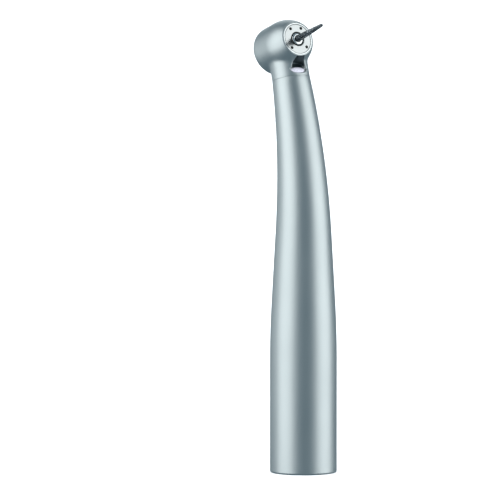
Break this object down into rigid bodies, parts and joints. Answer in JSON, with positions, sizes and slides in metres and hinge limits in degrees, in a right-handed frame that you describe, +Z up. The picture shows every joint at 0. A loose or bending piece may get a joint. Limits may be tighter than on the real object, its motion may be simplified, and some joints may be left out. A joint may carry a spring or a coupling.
{
  "type": "dental high speed handpiece",
  "caption": "Air turbine dental handpiece: tapered bent satin metal handle, push-button turbine head with fissure bur, light port, and a socket for a quick coupler at the rear.",
  "frame": {"origin": "centre of the handle's rear end face, at the mouth of the coupler socket", "axes": "+Z up along the straight handle towards the head, +X towards the side the bur points to, the handle bending in the XZ plane"},
  "size_m": [0.0233, 0.0162, 0.1092],
  "materials": {
    "satin_steel": "bead-blasted satin stainless steel",
    "polished_steel": "polished stainless steel",
    "cap_steel": "fine turned stainless steel",
    "bearing_steel": "ground bearing steel",
    "ceramic": "polished ceramic",
    "cage_resin": "moulded resin",
    "seal_rubber": "smooth rubber",
    "spring_steel": "spring steel",
    "impeller_aluminium": "anodised aluminium",
    "chuck_steel": "hardened steel",
    "shank_steel": "ground stainless steel",
    "carbide": "ground tungsten carbide",
    "lens_glass": "frosted optical glass",
    "fibre_glass": "drawn glass rod",
    "tube_steel": "drawn stainless tube",
    "core_aluminium": "turned aluminium"
  },
  "bodies": {
    "handle": {"handle_sleeve": "satin_steel", "head_housing": "satin_steel", "spray_plate": "polished_steel", "back_cap": "cap_steel", "cap_o_ring": "seal_rubber", "button_spring": "spring_steel", "front_outer_race": "bearing_steel", "rear_outer_race": "bearing_steel", "front_race_o_ring": "seal_rubber", "rear_race_o_ring": "seal_rubber", "preload_washer": "spring_steel", "light_lens": "lens_glass", "light_guide": "fibre_glass", "drive_air_tube": "tube_steel", "chip_air_tube": "tube_steel", "water_tube": "tube_steel", "connection_core": "core_aluminium", "core_o_ring": "seal_rubber", "latch_ring": "spring_steel", "retaining_nut": "cap_steel"},
    "rotor": {"spindle": "polished_steel", "impeller": "impeller_aluminium", "front_inner_race": "bearing_steel", "rear_inner_race": "bearing_steel", "chuck_springs": "spring_steel"},
    "chuck": {"collet": "chuck_steel", "release_plunger": "chuck_steel"},
    "bur": {"bur_shank": "shank_steel", "bur_cutter": "carbide"},
    "button": {"push_button": "polished_steel"},
    "front_ball_set": {"front_balls": "ceramic", "front_cage": "cage_resin"},
    "rear_ball_set": {"rear_balls": "ceramic", "rear_cage": "cage_resin"}
  },
  "joints": [
    {"name": "turbine_spin", "type": "hinge", "parent": "handle", "child": "rotor", "pos_m": [-0.0025, 0, 0.10479], "axis": [0.9397, 0, 0.342], "continuous": true},
    {"name": "button_press", "type": "slide", "parent": "handle", "child": "button", "axis": [0.9397, 0, 0.342], "range_m": [0, 0.0007], "stiffness_N_per_m": 4000, "springref_m": -0.0008, "deforming": ["button_spring"]},
    {"name": "chuck_release", "type": "slide", "parent": "rotor", "child": "chuck", "axis": [0.9397, 0, 0.342], "range_m": [0, 0.00048], "deforming": ["chuck_springs"]},
    {"name": "bur_pull", "type": "slide", "parent": "rotor", "child": "bur", "axis": [0.9397, 0, 0.342], "range_m": [0, 0.012]},
    {"name": "front_balls_orbit", "type": "hinge", "parent": "handle", "child": "front_ball_set", "pos_m": [-0.0025, 0, 0.10479], "axis": [0.9397, 0, 0.342], "continuous": true},
    {"name": "rear_balls_orbit", "type": "hinge", "parent": "handle", "child": "rear_ball_set", "pos_m": [-0.0025, 0, 0.10479], "axis": [0.9397, 0, 0.342], "continuous": true}
  ],
  "couplings": [
    {"joint": "chuck_release", "follows": "button_press", "ratio": 0.67},
    {"joint": "front_balls_orbit", "follows": "turbine_spin", "ratio": 0.395},
    {"joint": "rear_balls_orbit", "follows": "turbine_spin", "ratio": 0.395}
  ]
}
